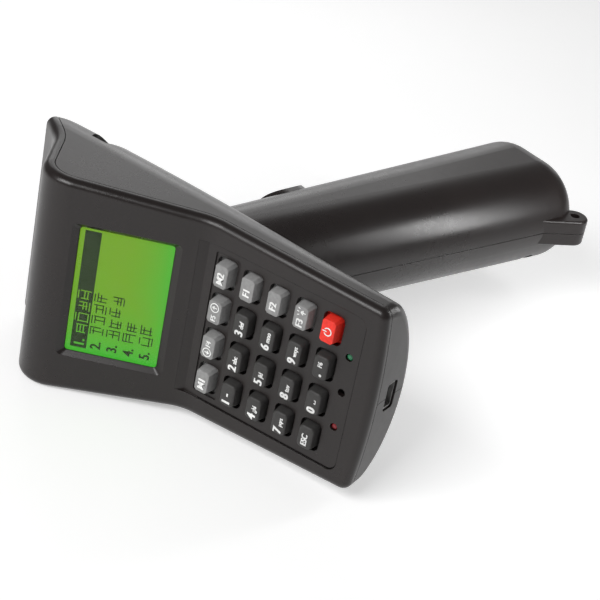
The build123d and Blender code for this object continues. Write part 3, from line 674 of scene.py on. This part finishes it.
def glyph(rng, u, v, wide, high):
    """A block of short neutral strokes, as dense as a printed character."""
    strokes = []
    for share in rng.sample((0.05, 0.27, 0.5, 0.73, 0.95), 3):
        left, right = rng.uniform(0.0, 0.2), rng.uniform(0.8, 1.0)
        level = v + share * high
        strokes.append(bar(u + left * wide, level, u + right * wide, level, 0.3))
    for share in rng.sample((0.1, 0.5, 0.9), 2):
        foot, head = rng.uniform(0.0, 0.25), rng.uniform(0.7, 1.0)
        place = u + share * wide
        strokes.append(bar(place, v + foot * high, place, v + head * high, 0.28))
    return strokes


def display_print():
    """Five numbered lines, the first of them reversed on a dark bar."""
    rng = random.Random(7)
    line, pitch, wide, high = 4.55, 3.55, 3.0, 3.8
    left, first = -SCREEN_SIDE + 0.9, SCREEN_FAR - 1.2
    ink, pale = [], []
    for number, length in ((1, 4), (2, 4), (3, 4), (4, 2), (5, 2)):
        foot = first - number * line
        shapes = pale if number == 1 else ink
        shapes.append(text_shape(f"{number}.", 4.0, left + 0.3, foot + 0.75, 0.07))
        for i in range(length):
            shapes += glyph(rng, left + 4.6 + i * pitch, foot + 0.4, wide, high)
    top, foot, right = SCREEN_FAR - 1.3, first - line, SCREEN_SIDE - 1.1
    ink.append(slab([(left, foot), (right, foot), (right, top), (left, top)]))
    layers = (("lcd_ink", ink, 0.05, INK), ("lcd_reversed", pale, 0.1, MATERIALS["lcd"]))
    for name, shapes, lift, material in layers:
        points, faces = joined(shapes)
        places = [on_screen(u, v, h + GLASS_OUT + lift) for u, v, h in points]
        piece = mesh_piece(name, places, faces, [material])
        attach(piece, "housing")


def display_window():
    """Clear pane with rounded corners and eased edges, a hair above the display glass."""
    middle = (SCREEN_NEAR + SCREEN_FAR) / 2
    half_v, half_u = (SCREEN_FAR - SCREEN_NEAR) / 2 + PANE_LIP, SCREEN_SIDE + PANE_LIP
    rings = []
    for out, inset in ((-2.0, 0.1), (-1.95, 0.0), (-1.47, 0.0), (-1.41, 0.1)):
        outline = ring(half_v - inset, half_u - inset, 1.0, 5)
        rings.append([on_screen(u, middle + v, out) for v, u in outline])
    points = [p for some in rings for p in some]
    faces = bridge(len(rings[0]), len(rings))
    piece = mesh_piece("display_window", points, faces, [MATERIALS["window"]])
    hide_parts("screen_window")
    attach(piece, "housing")


display_print()
display_window()


# ---------------------------------------------------------------- lamps and screws


def lamp_profile():
    """Collar, straight lens and round tip, heights above the keypad face (negative is inside)."""
    collar, foot, shoulder = 1.28, -6.0, -2.4
    profile = [(0.02, foot), (collar, foot), (collar, -2.45), (1.22, shoulder), (LAMP_RADIUS, shoulder)]
    for i in range(9):
        angle = math.radians(90 * i / 8)
        profile.append((max(0.02, LAMP_RADIUS * math.cos(angle)), -1.35 + 0.6 * math.sin(angle)))
    return profile


def lamp_lens(colour, side):
    """A status lamp on one side of the row's middle, in place of the solid."""
    points, faces = lathe(lamp_profile(), 48)
    slot = "lamp_" + colour
    places = [at(LAMP_X + x, -h, side * LAMP_Z + y) for x, y, h in points]
    piece = mesh_piece("lamp_lens_" + colour, places, faces, [MATERIALS[slot]])
    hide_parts(slot)
    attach(piece, "housing")


lamp_lens("green", 1)
lamp_lens("red", -1)


def screw_shape():
    """A pan-head screw with a cross recess: (x, y, height) with the seat at zero, and its faces."""
    around, slot_half, slot_reach = 64, 0.3, 1.15
    head_half, head_edge, head_high = 2.3, 0.5, 1.68
    recess = []
    for i in range(around):
        angle = 2 * math.pi * i / around
        s, c = abs(math.sin(angle)), abs(math.cos(angle))
        arm = max(min(slot_reach, slot_half / max(s, 1e-6)), min(slot_reach, slot_half / max(c, 1e-6)))
        recess.append((angle, arm))
    profile = [(0.05, -7.0), (0.9, -6.6), (1.2, -6.0), (1.2, 0.0), (2.28, 0.0), (head_half, head_edge)]
    for i in range(5):
        angle = math.radians(18 * (i + 1))
        profile.append((head_half - 0.75 * (1 - math.cos(angle)), head_edge + 1.15 * math.sin(angle)))
    points = []
    for radius, height in profile:
        for angle, arm in recess:
            points.append((radius * math.cos(angle), radius * math.sin(angle), height))
    for share, height in ((1.0, head_high), (0.9, 1.2), (0.6, 0.85)):
        for angle, arm in recess:
            points.append((share * arm * math.cos(angle), share * arm * math.sin(angle), height))
    return points, bridge(around, len(profile) + 3)


def screws(name, node, places):
    """Screws at places given as (seat, axis out of the head) in metres, in one piece."""
    shape, shape_faces = screw_shape()
    points, faces = [], []
    for seat, out in places:
        turn = Vector((0, 0, 1)).rotation_difference(out).to_matrix()
        start = len(points)
        points += [seat + turn @ (Vector(p) / 1000) for p in shape]
        faces += [tuple(i + start for i in face) for face in shape_faces]
    piece = mesh_piece(name, points, faces, [MATERIALS["screw"]], sharp=30.0)
    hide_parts(node)
    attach(piece, "housing")


def in_grip(along, out, side):
    """A place by its distance down the grip's axis, out in front of it, and to the user's right."""
    x = GRIP_X + along * math.sin(GRIP_LEAN) + out * math.cos(GRIP_LEAN)
    return at(x, along * math.cos(GRIP_LEAN) - out * math.sin(GRIP_LEAN), side)


TO_BACK, TO_LEFT = Vector((0, 1, 0)), Vector((0, 0, -1))
cover_places = [(at(x, COVER_SHELF, side * z), TO_BACK) for x, z in COVER_SCREWS for side in (-1, 1)]
grip_places = [(in_grip(along, out, GRIP_SHELF), TO_LEFT) for along, out in GRIP_SCREWS]
screws("cover_screw_set", "cover_screws", cover_places)
screws("grip_screw_set", "grip_screws", grip_places)


# ---------------------------------------------------------------- stage, light and camera


FLOOR_HALF = 4.0
FLOOR_LIFT = 0.38   # added to the floor where the eye or a reflection sees it
WORLD_LIGHT = 0.28


def stage_floor():
    """Pale floor, white to the eye and in reflections, that still takes the shadow."""
    g = Graph("floor")
    speck = g.span(g.noise(9.0, 3.0), 0.3, 0.7, 0.0, 1.0)
    base = g.mix(speck, (0.86, 0.86, 0.86), (0.88, 0.88, 0.88))
    shader = g.node("BsdfPrincipled", Base_Color=base, Roughness=0.75)
    path = g.node("LightPath").outputs
    seen = g.math("MAXIMUM", path["Is Camera Ray"], path["Is Glossy Ray"])
    seen = g.math("MAXIMUM", seen, path["Is Transmission Ray"])
    lift = g.node("Emission", Color=(1, 1, 1), Strength=g.math("MULTIPLY", seen, FLOOR_LIFT))
    total = g.node("AddShader")
    g.put(total.inputs[0], shader.outputs[0])
    g.put(total.inputs[1], lift.outputs[0])
    g.put(g.output.inputs["Surface"], total.outputs[0])
    corners = [(x * FLOOR_HALF, y * FLOOR_HALF, 0) for x, y in ((-1, -1), (1, -1), (1, 1), (-1, 1))]
    made = mesh_piece("floor", corners, [(0, 1, 2, 3)], [g.material])


def softbox(name, aim, direction, distance, size, radiance):
    """A rectangular lamp that faces a point, from a direction, with an even radiance."""
    lamp = bpy.data.lights.new(name, "AREA")
    lamp.shape = "RECTANGLE"
    lamp.size, lamp.size_y = size
    lamp.energy = radiance * math.pi * size[0] * size[1]
    made = bpy.data.objects.new(name, lamp)
    way = Vector(direction).normalized()
    made.location = Vector(aim) + way * distance
    made.rotation_euler = way.to_track_quat("Z", "Y").to_euler()
    bpy.context.scene.collection.objects.link(made)


def world_light():
    """Even light from all round, white to the camera itself."""
    world = bpy.data.worlds.new("studio")
    bpy.context.scene.world = world
    world.use_nodes = True
    tree = world.node_tree
    tree.nodes.clear()
    output = tree.nodes.new("ShaderNodeOutputWorld")
    background = tree.nodes.new("ShaderNodeBackground")
    path = tree.nodes.new("ShaderNodeLightPath")
    pick = tree.nodes.new("ShaderNodeMix")
    pick.inputs["A"].default_value = WORLD_LIGHT
    pick.inputs["B"].default_value = 1.0
    tree.links.new(path.outputs["Is Camera Ray"], pick.inputs["Factor"])
    tree.links.new(pick.outputs["Result"], background.inputs["Strength"])
    tree.links.new(background.outputs[0], output.inputs["Surface"])


stage_floor()
world_light()
MIDDLE = (0.0, -0.02, 0.035)
SOFTBOXES = (
    # name, aim, direction, distance, size, radiance
    ("back_box", at(-40, 10, 30), (-0.50, 0.76, 0.36), 0.32, (0.28, 0.18), 0.66),
    ("wide_back_box", at(-30, 10, 30), (-0.47, 0.76, 0.40), 0.5, (0.42, 0.26), 0.30),
    ("low_back_box", MIDDLE, (-0.41, 0.85, 0.15), 1.0, (1.0, 0.25), 1.14),
    ("right_box", at(8, 96, 0), (0.88, 0.30, 0.45), 0.12, (0.026, 0.06), 13.0),
    ("front_box", MIDDLE, (-0.1, -0.75, 0.65), 1.0, (0.6, 0.4), 8.4),
    ("key_box", MIDDLE, (-0.41, -0.80, 0.41), 1.0, (0.3, 0.3), 2.4),
)
for softbox_row in SOFTBOXES:
    softbox(*softbox_row)


def photo_camera():
    """The camera that was fitted to the photo's keys, lamps and screen corners."""
    optics = bpy.data.cameras.new("camera")
    optics.sensor_width = 36.0
    optics.lens = 114.0
    optics.clip_start, optics.clip_end = 0.01, 20.0
    camera = bpy.data.objects.new("camera", optics)
    right = Vector((0.81221, 0.55627, 0.17573))
    down = Vector((0.41199, -0.33367, -0.84790))
    ahead = Vector((-0.41302, 0.76107, -0.50019))
    turn = Matrix((right, -down, -ahead)).transposed()
    camera.matrix_world = Matrix.Translation(at(230.475, -369.523, 262.948)) @ turn.to_4x4()
    bpy.context.scene.collection.objects.link(camera)
    bpy.context.scene.camera = camera


photo_camera()
bpy.context.scene.view_settings.view_transform = "Standard"
